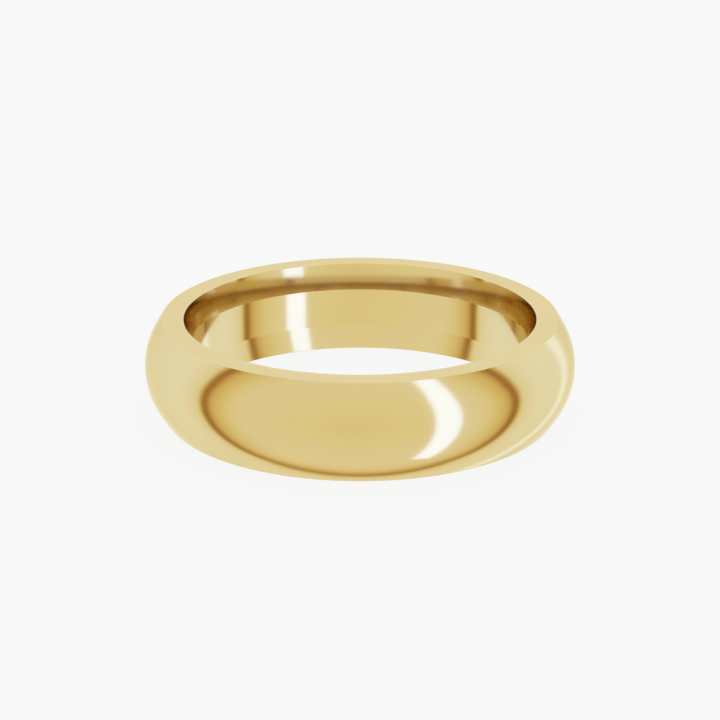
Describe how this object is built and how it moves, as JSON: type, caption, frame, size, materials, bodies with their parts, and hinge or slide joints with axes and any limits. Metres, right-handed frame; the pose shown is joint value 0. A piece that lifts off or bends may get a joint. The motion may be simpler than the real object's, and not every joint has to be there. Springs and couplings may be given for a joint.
{
  "type": "wedding band",
  "caption": "Plain domed wedding band in polished yellow gold: a closed ring with a comfort-fit bore for a finger and two flat rims.",
  "frame": {"origin": "centre of the finger bore, on its axis at mid-width", "axes": "+Z along the bore's axis. The ring is the same all round that axis and the same in both halves, so X and Y are free and +Z may point either way. Standing on a surface, it lies on the rim at -Z."},
  "size_m": [0.0222, 0.0222, 0.005],
  "materials": {
    "yellow_gold": "mirror polish, 14 carat yellow gold"
  },
  "bodies": {
    "root": {"band": "yellow_gold"}
  },
  "joints": []
}
